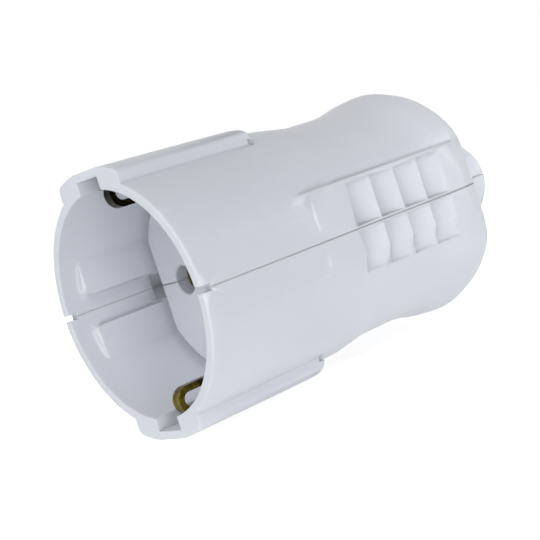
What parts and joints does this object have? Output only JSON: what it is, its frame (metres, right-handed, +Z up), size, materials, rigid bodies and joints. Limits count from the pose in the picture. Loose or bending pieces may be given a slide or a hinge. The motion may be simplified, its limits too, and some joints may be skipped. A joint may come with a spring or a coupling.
{
  "type": "inline socket connector",
  "caption": "Two-shell white plastic inline mains socket with earthed round well, side earth clips, grooved waisted grip and a cable gland; joins a plug to a flexible lead.",
  "frame": {"origin": "on the resting surface under the lower ridge, below the middle of the overall length and width", "axes": "+X along the connector from the mouth to the cable gland, +Y across through the two pin sockets, +Z up from the lower shell to the upper shell"},
  "size_m": [0.0874, 0.045, 0.0484],
  "materials": {
    "housing_plastic": "smooth moulded satin white",
    "contact_brass": "stamped, slightly tarnished",
    "spring_steel": "plain spring steel",
    "screw_steel": "zinc plated",
    "clamp_plastic": "moulded grey-white"
  },
  "bodies": {
    "root": {"upper_shell": "housing_plastic", "lower_shell": "housing_plastic", "line_contact": "contact_brass", "neutral_contact": "contact_brass", "line_contact_spring": "spring_steel", "neutral_contact_spring": "spring_steel", "terminal_screws": "screw_steel", "earth_bracket": "contact_brass", "earth_terminal": "contact_brass", "cord_clamp_bar": "clamp_plastic", "cord_clamp_screws": "screw_steel", "housing_screw": "screw_steel"}
  },
  "joints": []
}
